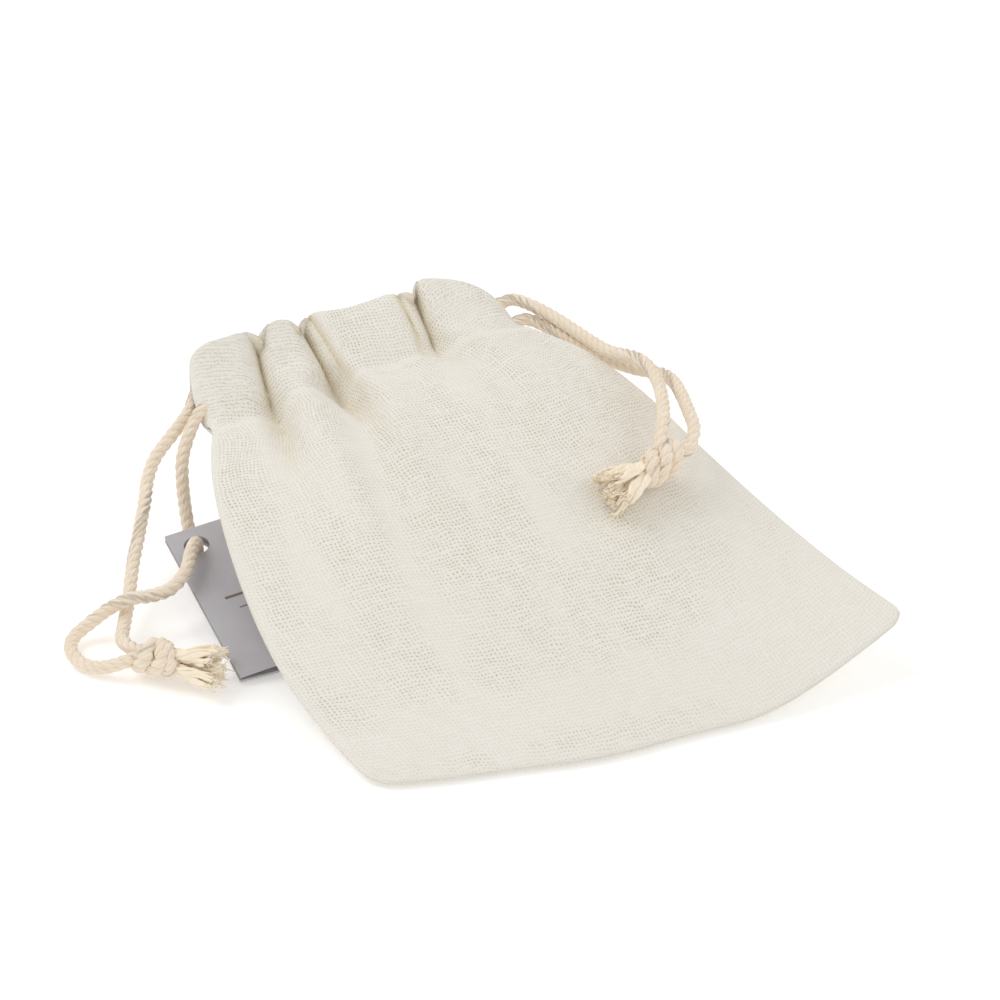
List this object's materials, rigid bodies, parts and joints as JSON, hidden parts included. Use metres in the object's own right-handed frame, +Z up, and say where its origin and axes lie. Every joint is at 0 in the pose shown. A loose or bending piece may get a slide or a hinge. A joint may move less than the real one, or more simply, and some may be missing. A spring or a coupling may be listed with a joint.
{
  "type": "cotton drawstring pouch",
  "caption": "Open-weave cotton pouch lying with its mouth end raised, gathered channel, twisted drawcords ending in frayed knots, folded card hang tag on one cord",
  "frame": {"origin": "on the table, under the centre of the pouch and its tag", "axes": "+X along the bottom seam to the right, +Y from the bottom seam to the mouth, +Z up from the table"},
  "size_m": [0.1624, 0.1292, 0.0426],
  "materials": {
    "cotton_muslin": "matte",
    "cotton_channel": "matte",
    "cotton_thread": "matte",
    "cotton_cord": "matte",
    "cotton_yarn": "matte",
    "grey_card": "matte"
  },
  "bodies": {
    "pouch": {"front_panel": "cotton_muslin", "back_panel": "cotton_muslin", "left_side_seam": "cotton_muslin", "right_side_seam": "cotton_muslin", "bottom_seam": "cotton_muslin", "front_channel": "cotton_channel", "back_channel": "cotton_channel", "front_stitching": "cotton_thread", "back_stitching": "cotton_thread"},
    "left_drawcord": {"left_strand_outer": "cotton_cord", "left_strand_inner": "cotton_cord", "left_knot": "cotton_cord", "left_tassel": "cotton_yarn", "tag_back_leaf": "grey_card"},
    "tag_leaf": {"tag_front_leaf": "grey_card"},
    "right_drawcord": {"right_strand_outer": "cotton_cord", "right_strand_inner": "cotton_cord", "right_knot": "cotton_cord", "right_tassel": "cotton_yarn"}
  },
  "joints": [
    {"name": "left_drawcord_pull", "type": "slide", "parent": "pouch", "child": "left_drawcord", "axis": [-1, 0, 0], "range_m": [0, 0.03]},
    {"name": "right_drawcord_pull", "type": "slide", "parent": "pouch", "child": "right_drawcord", "axis": [0.9784, 0, 0.2067], "range_m": [0, 0.03]},
    {"name": "tag_leaf_open", "type": "hinge", "parent": "left_drawcord", "child": "tag_leaf", "pos_m": [-0.06413, -0.01193, 0.0012], "axis": [0.0685, -0.9792, -0.1908], "range_deg": [-4, 8]}
  ]
}
